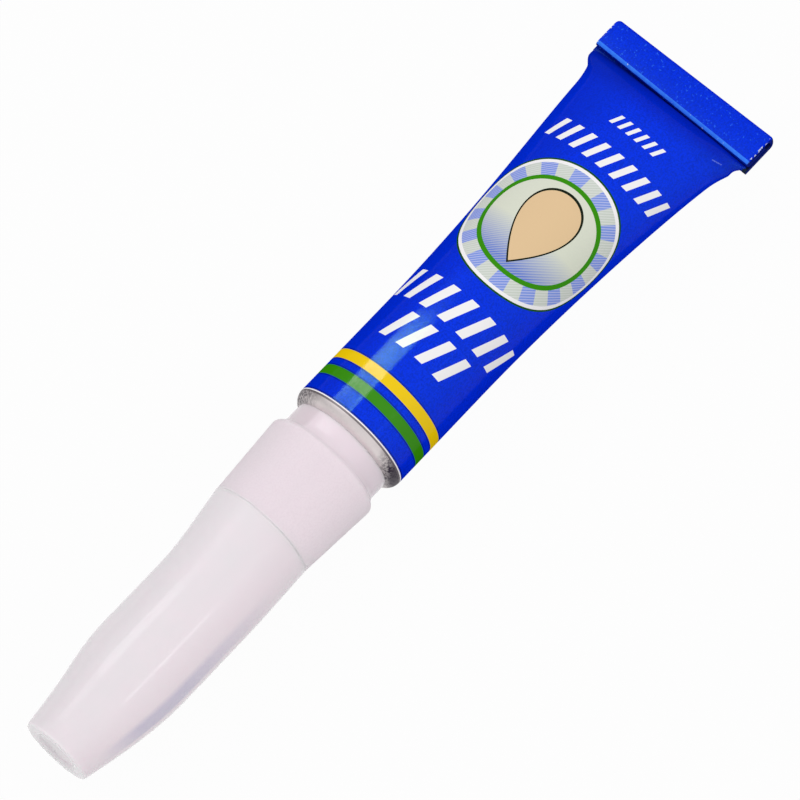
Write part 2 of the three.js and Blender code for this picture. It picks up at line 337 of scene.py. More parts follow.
def way_round(half_width, half_height, angle):
    """Length of the elliptical wall between the top and each angle from it."""
    shares = (np.arange(ARC_SAMPLES) + 0.5) / ARC_SAMPLES
    along = angle[:, None] * shares[None, :]
    speed = np.hypot(half_width[:, None] * np.cos(along), half_height[:, None] * np.sin(along))
    return angle * speed.mean(axis=1)


def places_round(places):
    """The angle of each point from the top, its way round the wall, and the girth there."""
    nearest = np.abs(places[:, :1] - ring_table[None, :, 0]).argmin(axis=1)
    _, half_width, half_height, side = ring_table[nearest].T
    out = (places[:, 1] - AXIS_SIDE - side) / half_width
    up = (places[:, 2] - AXIS_HEIGHT) / half_height
    angle = np.arctan2(out, up)
    across = way_round(half_width, half_height, angle)
    girth = 2 * way_round(half_width, half_height, np.full_like(angle, math.pi))
    return angle, across, girth


# %% UV map of the wall
def lay_print_map(piece):
    mesh = piece.data
    places = np.array([vertex.co for vertex in mesh.vertices])
    angle, across, girth = places_round(places)
    print_map = mesh.uv_layers.new(name="print")
    for face in mesh.polygons:
        at_back = max(angle[v] for v in face.vertices) > math.pi / 2
        for loop, vertex in zip(face.loop_indices, face.vertices):
            over_seam = at_back and angle[vertex] < -math.pi / 2
            place = across[vertex] + (girth[vertex] if over_seam else 0)
            print_map.data[loop].uv = (place / MM, (places[vertex, 0] - ENAMEL_EDGE) / MM)
    return girth


tube_girth = lay_print_map(tube)
print(f"girth {tube_girth.min() / MM:.2f} to {tube_girth.max() / MM:.2f} mm")

# %% [markdown]
# The folded end
# The flat end of the tube is turned over twice towards its front. Here a strip is bent the same way: a
# flat grid, whose edge is spun round for each bend and extruded for each flat stretch. Solidify then gives
# it the thickness of the two walls that lie in it, and a small bevel rounds its cut edges. The press wasn't
# quite square: the front lip runs at a slant, the far corners are worn round, and at the low end the upper
# layers stop short of the lowest.

# %% Lay the strip out flat
FOLD_HEIGHT = 3.75 * MM
LAYER_GAP = 0.1 * MM
FOLD_ROOT = 0.35 * MM
STRIP = 2 * WALL
LAYER_PITCH = STRIP + LAYER_GAP
STRIP_COLUMNS = 240
STRIP_ROWS = 8
fold_width = middle_girth / 2 + WALL - 2 * HAIR
fold_side = AXIS_SIDE - FOLD_OFFSET
fold_end = tube_high.x - HAIR
fold_front = fold_end - FOLD_HEIGHT
outer_bend = fold_end - LAYER_PITCH - STRIP / 2
strip_start = fold_front - LAYER_GAP - FOLD_ROOT
strip_middle = (strip_start + outer_bend) / 2

bpy.ops.object.select_all(action="DESELECT")
bpy.ops.mesh.primitive_grid_add(
    x_subdivisions=STRIP_ROWS,
    y_subdivisions=STRIP_COLUMNS,
    size=1,
    location=(strip_middle, fold_side, AXIS_HEIGHT),
)
fold = bpy.context.object
fold.name = "folded_strip"
fold.scale = (outer_bend - strip_start, fold_width, 1)
bpy.ops.object.transform_apply(location=True, rotation=True, scale=True)
measure(fold)

# %% Turn the strip over twice
FOLD_TUCK = 0.6 * MM
BEND_STEPS = 10
front_bend = fold_front + (LAYER_PITCH + STRIP) / 2


def select_points_at(piece, x):
    bpy.ops.object.mode_set(mode="OBJECT")
    for vertex in piece.data.vertices:
        vertex.select = abs(vertex.co.x - x) < WALL / 10
    bpy.ops.object.mode_set(mode="EDIT")


def turn_over(centre_x, centre_height):
    bpy.ops.mesh.spin(
        steps=BEND_STEPS,
        angle=math.pi,
        center=(centre_x, 0, centre_height),
        axis=(0, 1, 0),
        use_auto_merge=False,
    )


def run_flat(from_x, to_x):
    bpy.ops.mesh.extrude_region_move(TRANSFORM_OT_translate={"value": (to_x - from_x, 0, 0)})


bpy.ops.object.mode_set(mode="EDIT")
bpy.ops.mesh.select_mode(type="VERT")
bpy.ops.mesh.select_all(action="DESELECT")
select_points_at(fold, outer_bend)
turn_over(outer_bend, AXIS_HEIGHT + LAYER_PITCH)
run_flat(outer_bend, front_bend)
turn_over(front_bend, AXIS_HEIGHT + 1.5 * LAYER_PITCH)
run_flat(front_bend, outer_bend - FOLD_TUCK)
bpy.ops.object.mode_set(mode="OBJECT")
measure(fold)

# %% Give the strip its thickness
CUT_EDGES = {"width": 0.06 * MM, "segments": 2, "limit_method": "ANGLE", "angle_limit": math.radians(40)}


def apply_modifier(piece, kind, settings):
    bpy.context.view_layer.objects.active = piece
    modifier = piece.modifiers.new(kind.lower(), kind)
    for setting, value in settings.items():
        setattr(modifier, setting, value)
    bpy.ops.object.modifier_apply(modifier=modifier.name)


apply_modifier(fold, "SOLIDIFY", {"thickness": STRIP, "offset": 0, "use_even_offset": True})
apply_modifier(fold, "BEVEL", CUT_EDGES)
bpy.ops.object.mode_set(mode="EDIT")
face_outwards()
measure(fold)

# %% Slant the lip, round the corners and slope the low end
LIP_SLANT = 0.45 * MM
LIP_OVERLAP = 0.26 * MM
CORNER = 0.4 * MM
CORNER_FADE = 3
END_SLOPE = 0.32 * MM
END_SLOPE_REACH = 4 * END_SLOPE
STACK_HEIGHT = 2 * LAYER_PITCH


def corner_pull(aside):
    into_corner = min(max(aside - (fold_width / 2 - CORNER), 0), CORNER)
    return CORNER - math.sqrt(CORNER**2 - into_corner**2)


for vertex in fold.data.vertices:
    off_middle = vertex.co.y - fold_side
    from_end = (fold_end - vertex.co.x) / FOLD_HEIGHT
    vertex.co.x += from_end * (LIP_SLANT * off_middle / fold_width - LIP_OVERLAP)
    vertex.co.x -= corner_pull(abs(off_middle)) * max(1 - CORNER_FADE * from_end, 0)
    rise = max((vertex.co.z - AXIS_HEIGHT) / STACK_HEIGHT, 0)
    from_low_end = (off_middle + fold_width / 2) / END_SLOPE_REACH
    vertex.co.y += END_SLOPE * rise * max(1 - from_low_end, 0)
measure(fold)

# %% [markdown]
# The nozzle
# The nozzle is one moulding: a collar that seats on the shoulder, a grip that tapers towards the cap, a
# plug that the cap is pushed onto, and a long thin spout. Grip and collar run into each other in a soft
# slope, because a mould with sharp steps would mark the part. Inside are the socket for the neck and a
# spike that pierced the neck's membrane, with one bore through spike and spout. The outline runs from the
# spike round the outside to the tip, and the bore closes it.

# %% Places on the nozzle
COLLAR_RADIUS = 5.8 * MM
COLLAR_LENGTH = 2.25 * MM
COLLAR_REACH = 0.295 * MM
PLUG_LENGTH = 4 * MM
SOCKET_RADIUS = 3.8 * MM
SOCKET_DEPTH = 7.34 * MM
SPIKE_LENGTH = 2.4 * MM
SEAM = 0.005 * MM
grip_front = cap_high.x + SEAM
plug_end = grip_front - PLUG_LENGTH
collar_back = nozzle_high.x + COLLAR_REACH
grip_back = nozzle_high.x - COLLAR_LENGTH
socket_mouth = collar_back - (COLLAR_RADIUS - SOCKET_RADIUS) * math.tan(SHOULDER_SLOPE)
socket_floor = socket_mouth - SOCKET_DEPTH
spike_tip = socket_floor + SPIKE_LENGTH
print(f"grip {(grip_back - grip_front) / MM:.2f} mm long")

# %% Draw the nozzle
GRIP_BACK_RADIUS = 6.6 * MM
GRIP_FRONT_RADIUS = 6.01 * MM
GRIP_SLOPE_LENGTH = 0.45 * MM
GRIP_ROUNDING = 0.36 * MM
FILLET_SHIFT = 0.2 * MM
FILLET = 0.65 * MM
PLUG_RADIUS = 4.7 * MM
SPOUT_BASE_RADIUS = 3.2 * MM
SPOUT_TIP_RADIUS = 1.5 * MM
BORE_RADIUS = 0.75 * MM
SPIKE_RADIUS = 1.2 * MM
SPIKE_TIP_RADIUS = 0.95 * MM
SEAM_EDGE = 0.012 * MM
FINE = 0.04 * MM
EDGE = 0.2 * MM

nozzle_outline = [
    (spike_tip, BORE_RADIUS, 0),
    (spike_tip, SPIKE_TIP_RADIUS, FINE),
    (socket_floor, SPIKE_RADIUS, FINE),
    (socket_floor, SOCKET_RADIUS, FINE),
    (socket_mouth, SOCKET_RADIUS, FINE),
    (collar_back, COLLAR_RADIUS, FINE),
    (grip_back + FILLET_SHIFT, COLLAR_RADIUS, FILLET),
    (grip_back - GRIP_SLOPE_LENGTH, GRIP_BACK_RADIUS, GRIP_ROUNDING),
    (grip_front, GRIP_FRONT_RADIUS, SEAM_EDGE),
    (grip_front, PLUG_RADIUS, FINE),
    (plug_end, PLUG_RADIUS, 2 * EDGE),
    (plug_end, SPOUT_BASE_RADIUS, EDGE),
    (nozzle_low.x, SPOUT_TIP_RADIUS, EDGE),
    (nozzle_low.x, BORE_RADIUS, 0),
]
nozzle = draw_out("nozzle_skin", rounded(nozzle_outline))
close_bore()
measure(nozzle)

# %% [markdown]
# The cap
# The cap is a push-on cover with a shallow dish in its end face. It widens a little at its rim, runs
# straight, and then tapers. On this one the barrel stands a little to one side of the rim, so the flare
# shows on the other side only, and the taper is bowed a little. Its hollow is in line with the spout and
# has a step for the plug and a pin that keeps the bore open. The outline runs from the dish over the
# outside to the rim and back to the pin.

# %% Outside of the cap
CAP_FLARE_LENGTH = 7.4 * MM
CAP_BARREL_RADIUS = 5.625 * MM
CAP_OFFSET = 0.7 * MM
CAP_CONE_LENGTH = 10.3 * MM
CAP_END_RADIUS = 3.875 * MM
CAP_END_ROUNDING = 0.25 * MM
CAP_BOW = 0.14 * MM
CAP_BOW_PLACE = 5 * MM
DISH_RADIUS = 1.9 * MM
DISH_DEPTH = 0.3 * MM
DISH_SLOPE = 0.7 * MM
DISH_ROUNDING = 0.35 * MM
SOFT = 2.5 * MM
cap_end = cap_low.x
cap_rim = cap_high.x
cone_start = cap_end + CAP_CONE_LENGTH
end_side = CAP_BOW - CAP_OFFSET
bow_side = -CAP_BOW - CAP_OFFSET
bow_radius = CAP_END_RADIUS + (CAP_BARREL_RADIUS - CAP_END_RADIUS) * CAP_BOW_PLACE / CAP_CONE_LENGTH

barrel_outline = [
    (cap_end + DISH_DEPTH, DISH_RADIUS / 3, 0, end_side),
    (cap_end + DISH_DEPTH, DISH_RADIUS, DISH_ROUNDING, end_side),
    (cap_end, DISH_RADIUS + DISH_SLOPE, DISH_ROUNDING, end_side),
    (cap_end, CAP_END_RADIUS, CAP_END_ROUNDING, end_side),
    (cap_end + CAP_BOW_PLACE, bow_radius, SOFT, bow_side),
    (cone_start, CAP_BARREL_RADIUS, SOFT, -CAP_OFFSET),
    (cap_rim - CAP_FLARE_LENGTH, CAP_BARREL_RADIUS, SOFT, -CAP_OFFSET),
]
print(f"cap {(cap_rim - cap_end) / MM:.2f} mm long")

# %% Inside of the cap
CAP_RIM_RADIUS = 6.05 * MM
CAP_WALL = 0.7 * MM
CAP_TIP = 3.1 * MM
MOUTH_RADIUS = 5 * MM
PIN_RADIUS = 0.45 * MM
PIN_LENGTH = 3 * MM
PLAY = 0.3 * MM
cavity_end = cap_end + CAP_TIP
hollow_radius = CAP_BARREL_RADIUS - CAP_OFFSET - CAP_WALL
taper = (CAP_BARREL_RADIUS - CAP_END_RADIUS) * (CAP_CONE_LENGTH - CAP_TIP) / CAP_CONE_LENGTH

hollow_outline = [
    (cap_rim, CAP_RIM_RADIUS, SEAM_EDGE),
    (cap_rim, MOUTH_RADIUS, FINE),
    (plug_end - PLAY, MOUTH_RADIUS, FINE),
    (plug_end - PLAY, hollow_radius, FINE),
    (cone_start, hollow_radius, SOFT),
    (cavity_end, hollow_radius - taper, EDGE),
    (cavity_end, PIN_RADIUS, FINE),
    (cavity_end + PIN_LENGTH, PIN_RADIUS, FINE),
    (cavity_end + PIN_LENGTH, PIN_RADIUS / 2, 0),
]
cap = draw_out("cap_skin", rounded(barrel_outline + hollow_outline))
close_ends()
measure(cap)

# %% [markdown]
# Painting with nodes
# Every finish below is a Principled shader whose colour, roughness and bump come from small sums of Math
# nodes. Painted pictures would do too, but nodes stay sharp however near the camera comes. These helpers
# keep the sums readable. Noise sizes are given in real lengths.

# %% Node helpers
def start_material(name):
    material = bpy.data.materials.new(name)
    material.use_nodes = True
    return material, material.node_tree, material.node_tree.nodes["Principled BSDF"]


def feed(tree, socket, value):
    """Links a node's output to a socket, or sets a plain value on it."""
    if isinstance(value, bpy.types.NodeSocket):
        tree.links.new(value, socket)
    else:
        socket.default_value = value


def calc(tree, operation, first, second=0.0):
    node = tree.nodes.new("ShaderNodeMath")
    node.operation = operation
    feed(tree, node.inputs[0], first)
    feed(tree, node.inputs[1], second)
    return node.outputs[0]


def times(tree, first, second):
    return calc(tree, "MULTIPLY", first, second)


def minus(tree, first, second):
    return calc(tree, "SUBTRACT", first, second)


def above(tree, value, bound):
    return calc(tree, "GREATER_THAN", value, bound)


def below(tree, value, bound):
    return calc(tree, "LESS_THAN", value, bound)


# %% Masks and mixes
def between(tree, value, low, high):
    """A mask that is 1 where the value lies between two bounds."""
    return times(tree, above(tree, value, low), below(tree, value, high))


def lay_over(tree, mask, under, over, strength=1.0):
    """One colour over another where a mask is 1; with less strength the one below shows through."""
    node = tree.nodes.new("ShaderNodeMix")
    node.data_type = "RGBA"
    feed(tree, node.inputs["Factor"], times(tree, mask, strength) if strength < 1 else mask)
    feed(tree, node.inputs[6], under)
    feed(tree, node.inputs[7], over)
    return node.outputs[2]


def rescale(tree, value, low, high, start=0.0, end=1.0):
    """Maps a value that runs from start to end onto other bounds, and holds it there beyond them."""
    node = tree.nodes.new("ShaderNodeMapRange")
    feed(tree, node.inputs["Value"], value)
    bounds = {"From Min": start, "From Max": end, "To Min": low, "To Max": high}
    for socket, bound in bounds.items():
        node.inputs[socket].default_value = bound
    return node.outputs["Result"]


# %% Grain, place and surface helpers
GLOSS_FADE = (0.15, 0.5)


def grain(tree, size, detail=2.0):
    """Noise whose blotches have a real size, fixed to the piece."""
    place = tree.nodes.new("ShaderNodeTexCoord")
    noise = tree.nodes.new("ShaderNodeTexNoise")
    noise.inputs["Scale"].default_value = 1 / size
    noise.inputs["Detail"].default_value = detail
    tree.links.new(place.outputs["Object"], noise.inputs["Vector"])
    return noise.outputs["Fac"]


def place_on(tree):
    """The three coordinates of a point on the piece."""
    place = tree.nodes.new("ShaderNodeTexCoord")
    split = tree.nodes.new("ShaderNodeSeparateXYZ")
    tree.links.new(place.outputs["Object"], split.inputs[0])
    return split.outputs


def surface(tree, shader, colour, patches, roughness):
    """Links a colour, and a roughness that runs between two bounds in patches of a real size."""
    tree.links.new(colour, shader.inputs["Base Color"])
    tree.links.new(rescale(tree, grain(tree, patches), *roughness), shader.inputs["Roughness"])


def bump(tree, shader, height, depth):
    node = tree.nodes.new("ShaderNodeBump")
    node.inputs["Distance"].default_value = depth
    tree.links.new(height, node.inputs["Height"])
    tree.links.new(node.outputs["Normal"], shader.inputs["Normal"])


def fade_gloss(tree, shader, level):
    """Gloss that fades where the surface turns away, because a thin coat shows no pale rim there."""
    turned = tree.nodes.new("ShaderNodeLayerWeight")
    turned.inputs["Blend"].default_value = 0.5
    faded = rescale(tree, turned.outputs["Facing"], level, 0.0, *GLOSS_FADE)
    tree.links.new(faded, shader.inputs["Specular IOR Level"])


# %% [markdown]
# Printed enamel
# The wall is coated white, then blue, and printed with a green and a yellow ring, a round badge and rows
# of white bars. All of it is drawn from the print map, so it bends with the wall as the real print does.

# %% Blue coat
BLUE = (0.0005, 0.029, 0.8, 1)
DEEP_BLUE = (0.0005, 0.016, 0.66, 1)
HIGH_SIDE_SHADE_BLUE = (0.0005, 0.02, 0.5, 1)
NAVY = (0.001, 0.008, 0.2, 1)
PRINT_CENTRE = -1.12
EDGE_LINE = (0.0, 0.2)
HIGH_SIDE_SHADE = (3.0, 6.0)
SHADED = (44.6, 48.6)
SPECK = 0.2 * MM
SPECK_STRENGTH = 0.36
SPECK_BOUNDS = (0.4, 0.65)


def print_places(tree):
    """Millimetres round the wall from the print's middle, and along it from the enamel edge."""
    source = tree.nodes.new("ShaderNodeUVMap")
    source.uv_map = "print"
    split = tree.nodes.new("ShaderNodeSeparateXYZ")
    tree.links.new(source.outputs["UV"], split.inputs[0])
    return minus(tree, split.outputs["X"], PRINT_CENTRE), split.outputs["Y"]


def specked(tree, colour):
    specks = rescale(tree, grain(tree, SPECK), 0.0, SPECK_STRENGTH, *SPECK_BOUNDS)
    return lay_over(tree, specks, colour, NAVY)


def blue_coat(tree, across, along):
    """Cloudy blue with painted shade on its high side and before the fold; a dark line at the enamel's
    edge.
    """
    colour = lay_over(tree, rescale(tree, grain(tree, 2.5 * MM), 0, 0.4), BLUE, DEEP_BLUE)
    colour = specked(tree, colour)
    # Painted shade on the high side of the wall.
    colour = lay_over(tree, rescale(tree, across, 0.0, 0.45, *HIGH_SIDE_SHADE), colour, HIGH_SIDE_SHADE_BLUE)
    # Painted shade in the hollow before the fold.
    colour = lay_over(tree, rescale(tree, along, 0.0, 0.6, *SHADED), colour, NAVY)
    return lay_over(tree, between(tree, along, *EDGE_LINE), colour, NAVY, strength=0.7)


# %% Rings
GREEN = (0.035, 0.25, 0.003, 1)
YELLOW = (0.83, 0.56, 0.003, 1)
GREEN_RING = (2.15, 3.39)
YELLOW_RING = (4.4, 5.63)
RING_LINE = 0.18
COAT_TINT = (0.35, 1.0, 0.3, 1)
INK_TINT = (0.9, 1.0, 0.9, 1)


def printed_rings(tree, along, colour):
    """Both rings between dark lines, and the tint of the gloss, which differs on ink and on coat."""
    tint = COAT_TINT
    for (low, high), paint in ((GREEN_RING, GREEN), (YELLOW_RING, YELLOW)):
        line = between(tree, along, low - RING_LINE, high + RING_LINE)
        colour = lay_over(tree, line, colour, NAVY, strength=0.6)
        inked = between(tree, along, low, high)
        colour = lay_over(tree, inked, colour, paint)
        tint = lay_over(tree, inked, tint, INK_TINT)
    return colour, tint


# %% Bars
WHITE = (0.86, 0.84, 0.86, 1)
BAR_SHARE = 0.42
BAR_SLANT = 0.4
BAR_ROWS = (
    {"along": (8.6, 12.3), "bars": 4, "pitch": 2.5},
    {"along": (13.4, 17.1), "bars": 7, "pitch": 2.5},
    {"along": (36.9, 39.5), "bars": 9, "pitch": 1.8},
    {"along": (41.7, 43.1), "bars": 6, "pitch": 1.1},
)


def slanted_bars(tree, across, along, row):
    """A row of whole bars on either side of the print's middle."""
    low, high = row["along"]
    half = row["bars"] / 2
    lean = times(tree, minus(tree, along, (low + high) / 2), BAR_SLANT)
    cell = calc(tree, "DIVIDE", calc(tree, "ADD", across, lean), row["pitch"])
    from_middle = minus(tree, calc(tree, "FRACT", calc(tree, "ADD", cell, half)), 0.5)
    in_bar = below(tree, calc(tree, "ABSOLUTE", from_middle), BAR_SHARE / 2)
    in_row = times(tree, between(tree, along, low, high), between(tree, cell, -half, half))
    return times(tree, in_row, in_bar)


print("bars:", sum(row["bars"] for row in BAR_ROWS))

# %% Drop on the badge
BADGE_CENTRE = 27.5
DROP_WIDTH = 0.58
DROP_RADIUS = 4.8
DROP_LINE = 0.3
TAN = (0.72, 0.51, 0.3, 1)
BLACK_INK_AND_SHADE = (0.006, 0.006, 0.006, 1)


def drop_mask(tree, across, along, radius):
    """A drop that points towards the nozzle, drawn round the badge's middle."""
    height = calc(tree, "DIVIDE", minus(tree, BADGE_CENTRE, along), radius)
    bulge = minus(tree, 1.0, times(tree, height, height))
    narrowing = minus(tree, 1.0, height)
    width = calc(tree, "SQRT", times(tree, calc(tree, "MAXIMUM", bulge, 0.0), narrowing))
    side = calc(tree, "DIVIDE", calc(tree, "ABSOLUTE", across), radius)
    return below(tree, side, times(tree, width, DROP_WIDTH))


def outlined_drop(tree, across, along, colour):
    for radius, paint in ((DROP_RADIUS + DROP_LINE, BLACK_INK_AND_SHADE), (DROP_RADIUS, TAN)):
        colour = lay_over(tree, drop_mask(tree, across, along, radius), colour, paint)
    return colour


# %% Rings and rays of the badge
BADGE_LENGTH = 8.4
BADGE_WIDTH = 9.0
DARK_GREEN = (0.006, 0.06, 0.01, 1)
CREAM = (0.66, 0.68, 0.58, 1)
MID_BLUE = (0.02, 0.09, 0.6, 1)
PALE_GREY = (0.56, 0.6, 0.55, 1)
PALE_BLUE = (0.2, 0.28, 0.72, 1)
RAYS = 14.0
HATCH_LINES = 2.6
HATCH_SHARE = 0.4
HATCH_STRENGTH = 0.35
FIELD_SHADE = (BADGE_CENTRE - 5.0, BADGE_CENTRE - 0.5)
FIELD_HATCH = (0.4, 1.0)


def from_badge_middle(tree, across, along):
    """How far out a point lies, 1 at the badge's edge, and how far round, as a share of a turn."""
    far_x = calc(tree, "DIVIDE", across, BADGE_WIDTH)
    far_y = calc(tree, "DIVIDE", minus(tree, along, BADGE_CENTRE), BADGE_LENGTH)
    squares = [times(tree, far, far) for far in (far_x, far_y)]
    reach = calc(tree, "SQRT", calc(tree, "ADD", *squares))
    return reach, calc(tree, "DIVIDE", calc(tree, "ARCTAN2", far_y, far_x), 2 * math.pi)


def badge_grounds(tree, across, along, turn):
    """The hatched burst of rays, and the field inside it with its shade."""
    rays = below(tree, calc(tree, "FRACT", times(tree, turn, RAYS)), 0.5)
    hatch = calc(tree, "FRACT", times(tree, calc(tree, "ADD", across, along), HATCH_LINES))
    burst = lay_over(tree, rays, PALE_GREY, PALE_BLUE)
    burst = lay_over(tree, below(tree, hatch, HATCH_SHARE), burst, WHITE, HATCH_STRENGTH)
    shade = rescale(tree, along, 1.0, 0.0, *FIELD_SHADE)
    shade = times(tree, shade, rescale(tree, hatch, *FIELD_HATCH))
    return burst, lay_over(tree, shade, CREAM, MID_BLUE)


def badge(tree, across, along, colour):
    """Rings, a burst of rays and a drop, one over the other."""
    reach, turn = from_badge_middle(tree, across, along)
    burst, field = badge_grounds(tree, across, along, turn)
    for outer, paint in ((1.0, DARK_GREEN), (0.975, WHITE), (0.93, burst), (0.74, GREEN), (0.68, field)):
        colour = lay_over(tree, below(tree, reach, outer), colour, paint)
    return outlined_drop(tree, across, along, colour)


# %% Printed enamel
# Place of a painted highlight, a short pale streak on a small dent.
DENT_GLINT_ALONG = (43.36, 43.5)
DENT_GLINT_ACROSS = (-7.8, -6.8)
DENT_GLINT_SLANT = 0.4
ENAMEL_ROUGHNESS = (0.08, 0.16)
ENAMEL_GLOSS = 0.18


def dent_glint(tree, across, along, colour):
    """A short pale streak: a painted highlight where a small dent catches the light."""
    slanted = calc(tree, "ADD", along, times(tree, across, DENT_GLINT_SLANT))
    in_length = between(tree, across, *DENT_GLINT_ACROSS)
    glint_line = times(tree, between(tree, slanted, *DENT_GLINT_ALONG), in_length)
    patchy = rescale(tree, grain(tree, 0.15 * MM), 0.2, 0.6, 0.35, 0.6)
    return lay_over(tree, times(tree, glint_line, patchy), colour, PALE_BLUE)


def printed_enamel():
    material, tree, shader = start_material("printed_enamel")
    across, along = print_places(tree)
    colour, tint = printed_rings(tree, along, blue_coat(tree, across, along))
    for row in BAR_ROWS:
        colour = lay_over(tree, slanted_bars(tree, across, along, row), colour, WHITE)
    colour = badge(tree, across, along, colour)
    colour = dent_glint(tree, across, along, colour)
    surface(tree, shader, colour, 1.2 * MM, ENAMEL_ROUGHNESS)
    tree.links.new(tint, shader.inputs["Specular Tint"])
    fade_gloss(tree, shader, ENAMEL_GLOSS)
    bump(tree, shader, grain(tree, 0.5 * MM), 0.003 * MM)
    return material


enamel = printed_enamel()
print("made", enamel.name)

# %% [markdown]
# Worn enamel, with painted light and shade
# The folded band has the same blue coat but is handled more. It is rubbed pale along its front lip, where a
# painted highlight also lies, and chipped at the tops of its cut ends. Painted shade darkens it below the
# lip and on its cut ends. Wear could be painted by hand. Here it and the painted light and shade are placed
# by the measures of the strip, so that they follow when those measures change.

# %% Rubbed and lit lip
BAND_BLUE = (0.0005, 0.026, 0.74, 1)
RUBBED_AND_LIT_BLUE = (0.044, 0.23, 0.93, 1)
RUBBED_AND_LIT_WIDTH = 0.43 * MM
top_layer = AXIS_HEIGHT + STACK_HEIGHT
lip_edge = fold_front - LIP_OVERLAP + RUBBED_AND_LIT_WIDTH


def at_front_lip(tree, x, off_middle):
    slant = times(tree, off_middle, LIP_SLANT / fold_width)
    return below(tree, minus(tree, x, slant), lip_edge)


def lit_and_rubbed_lip(tree, on_top, at_lip, colour):
    """Painted shade below the lip, pale wear and a painted highlight on it, and pale dots all over the
    band.
    """
    under_lip = times(tree, at_lip, minus(tree, 1.0, on_top))
    # Painted shade under the lip.
    colour = lay_over(tree, under_lip, colour, NAVY, strength=0.8)
    # Pale on top of the lip: rubbed enamel, with a painted highlight where the bend catches the light.
    patchy = rescale(tree, grain(tree, 0.5 * MM), 0.5, 1.0)
    rubbed_and_lit = times(tree, times(tree, at_lip, on_top), patchy)
    colour = lay_over(tree, rubbed_and_lit, colour, RUBBED_AND_LIT_BLUE)
    dots = rescale(tree, grain(tree, 0.3 * MM), 0.0, 0.4, 0.64, 0.7)
    return lay_over(tree, dots, colour, RUBBED_AND_LIT_BLUE)


# %% Shaded and chipped ends
RUBBED_WHITE = (0.62, 0.66, 0.78, 1)
LEDGE = 1.5 * END_SLOPE
CUT_END = 0.02 * MM
CHIP_REACH = 0.12 * MM


def near_ends(tree, aside, reach):
    return above(tree, aside, fold_width / 2 - reach)


def shaded_ends(tree, off_middle, z, colour):
    """Painted shade on the cut ends, black on the low ledge; also how far aside a point lies in its layer.
    """
    at_low_side = below(tree, off_middle, 0.0)
    rise = rescale(tree, z, 0.0, END_SLOPE, AXIS_HEIGHT, top_layer)
    short = times(tree, at_low_side, rise)
    aside = calc(tree, "ADD", calc(tree, "ABSOLUTE", off_middle), short)
    under_top = below(tree, z, AXIS_HEIGHT + 1.5 * LAYER_PITCH)
    ledge = times(tree, under_top, near_ends(tree, aside, LEDGE))
    ledge = times(tree, ledge, at_low_side)
    # Painted black shadow on the ledge at the low end.
    colour = lay_over(tree, ledge, colour, BLACK_INK_AND_SHADE, strength=0.9)
    # Painted shade on the cut ends.
    at_end = near_ends(tree, aside, CUT_END)
    return lay_over(tree, at_end, colour, NAVY, strength=0.8), aside


def chips(tree, at_lip, aside):
    """Where the enamel has gone: in chips near the ends, and in specks along the lip."""
    chipped = above(tree, grain(tree, 0.35 * MM, 3.0), 0.56)
    speck = above(tree, grain(tree, 0.3 * MM, 3.0), 0.7)
    at_ends = times(tree, near_ends(tree, aside, CHIP_REACH), chipped)
    return calc(tree, "MAXIMUM", at_ends, times(tree, at_lip, speck))


# %% Worn, lit and shaded enamel
WORN_ROUGHNESS = (0.25, 0.4)
WORN_GLOSS = 0.1


def worn_lit_and_shaded_enamel():
    material, tree, shader = start_material("worn_lit_and_shaded_enamel")
    x, y, z = place_on(tree)
    on_top = above(tree, z, top_layer)
    off_middle = minus(tree, y, fold_side)
    at_lip = at_front_lip(tree, x, off_middle)
    colour = lit_and_rubbed_lip(tree, on_top, at_lip, specked(tree, BAND_BLUE))
    colour, aside = shaded_ends(tree, off_middle, z, colour)
    gone = times(tree, chips(tree, at_lip, aside), on_top)
    colour = lay_over(tree, gone, colour, RUBBED_WHITE)
    surface(tree, shader, colour, 0.6 * MM, WORN_ROUGHNESS)
    shader.inputs["Specular Tint"].default_value = COAT_TINT
    fade_gloss(tree, shader, WORN_GLOSS)
    bump(tree, shader, grain(tree, 0.4 * MM), 0.006 * MM)
    return material


band = worn_lit_and_shaded_enamel()
print("made", band.name)

# %% [markdown]
# Bare aluminium
# The shoulder has no enamel, only a line of the white base coat at its edge. The metal is mottled from
# pressing. Its colour also carries painted reflections: bright beside the white collar, dark in patches
# towards both sides and all over the underside. Painted shade darkens it where it turns towards the enamel.
# A plain mirror would show only the room, so the metal is rough and its colour carries the mottle.

# %% Colour of the metal
METAL_TONES = ((0.72, 0.66, 0.66, 1), (0.84, 0.78, 0.77, 1))
LIT_METAL = (0.97, 0.92, 0.92, 1)
TURN_SHADE_METAL = (0.4, 0.36, 0.37, 1)
DARK_REFLECTION_METAL = (0.035, 0.026, 0.042, 1)
SHADED_METAL = (0.12, 0.1, 0.11, 1)
BASE_COAT_LINE = 0.14
BASE_COAT_SHADE = 0.2
BY_COLLAR = (-2.0, -1.3)
TURNING = (-1.0, -BASE_COAT_LINE)
DARK_REFLECTION_LOW = (AXIS_SIDE - 6.0 * MM, AXIS_SIDE - 4.6 * MM)
DARK_REFLECTION_HIGH = (AXIS_SIDE + 3.0 * MM, AXIS_SIDE + 5.2 * MM)
DARK_REFLECTION_UNDERSIDE = (AXIS_SIDE - 6.3 * MM, AXIS_SIDE - 5.2 * MM)


def dark_reflections(tree, mottle):
    """Where dark reflections are painted: in patches towards both sides, and everywhere underneath."""
    _, y, _ = place_on(tree)
    low = rescale(tree, y, 1.0, 0.0, *DARK_REFLECTION_LOW)
    high = rescale(tree, y, 0.0, 0.9, *DARK_REFLECTION_HIGH)
    patchy = rescale(tree, mottle, 0.4, 1.0, 0.42, 0.56)
    sides = times(tree, calc(tree, "MAXIMUM", low, high), patchy)
    return calc(tree, "MAXIMUM", sides, rescale(tree, y, 0.95, 0.0, *DARK_REFLECTION_UNDERSIDE))


